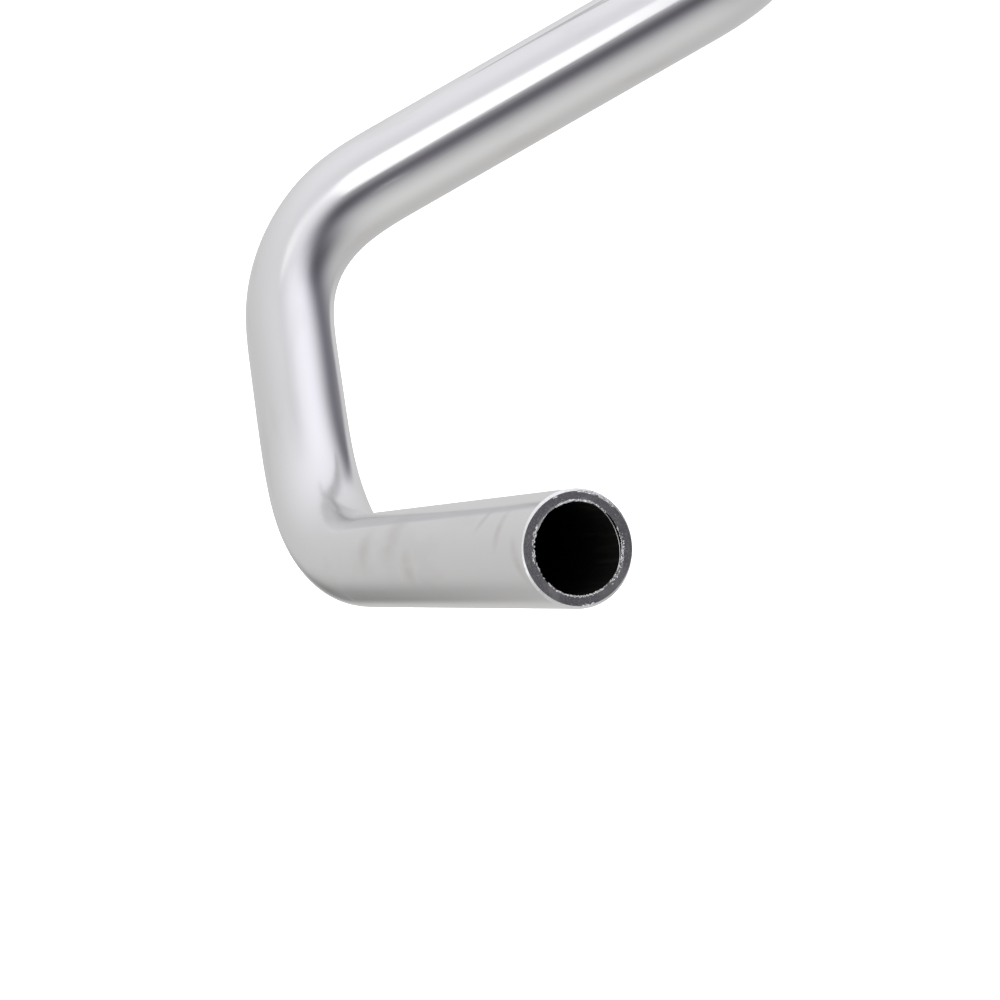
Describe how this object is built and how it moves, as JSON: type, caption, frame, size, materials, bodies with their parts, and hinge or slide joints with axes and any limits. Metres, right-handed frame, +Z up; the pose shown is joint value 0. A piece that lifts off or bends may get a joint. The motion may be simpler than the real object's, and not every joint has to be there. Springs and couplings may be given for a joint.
{
  "type": "swept-back riser handlebar",
  "caption": "One-piece bent aluminium tube handlebar with a straight clamp centre, leaning risers, short shoulders and long grips swept back, open at both sawn ends.",
  "frame": {"origin": "middle of the straight centre run, on the tube's axis, where the stem clamps", "axes": "+X to the rider's right along the clamped centre, +Y forward, +Z up with the grips level"},
  "size_m": [0.5966, 0.1657, 0.1555],
  "materials": {
    "polished_aluminium": "satin-polished bare aluminium"
  },
  "bodies": {
    "root": {"handlebar": "polished_aluminium"}
  },
  "joints": []
}
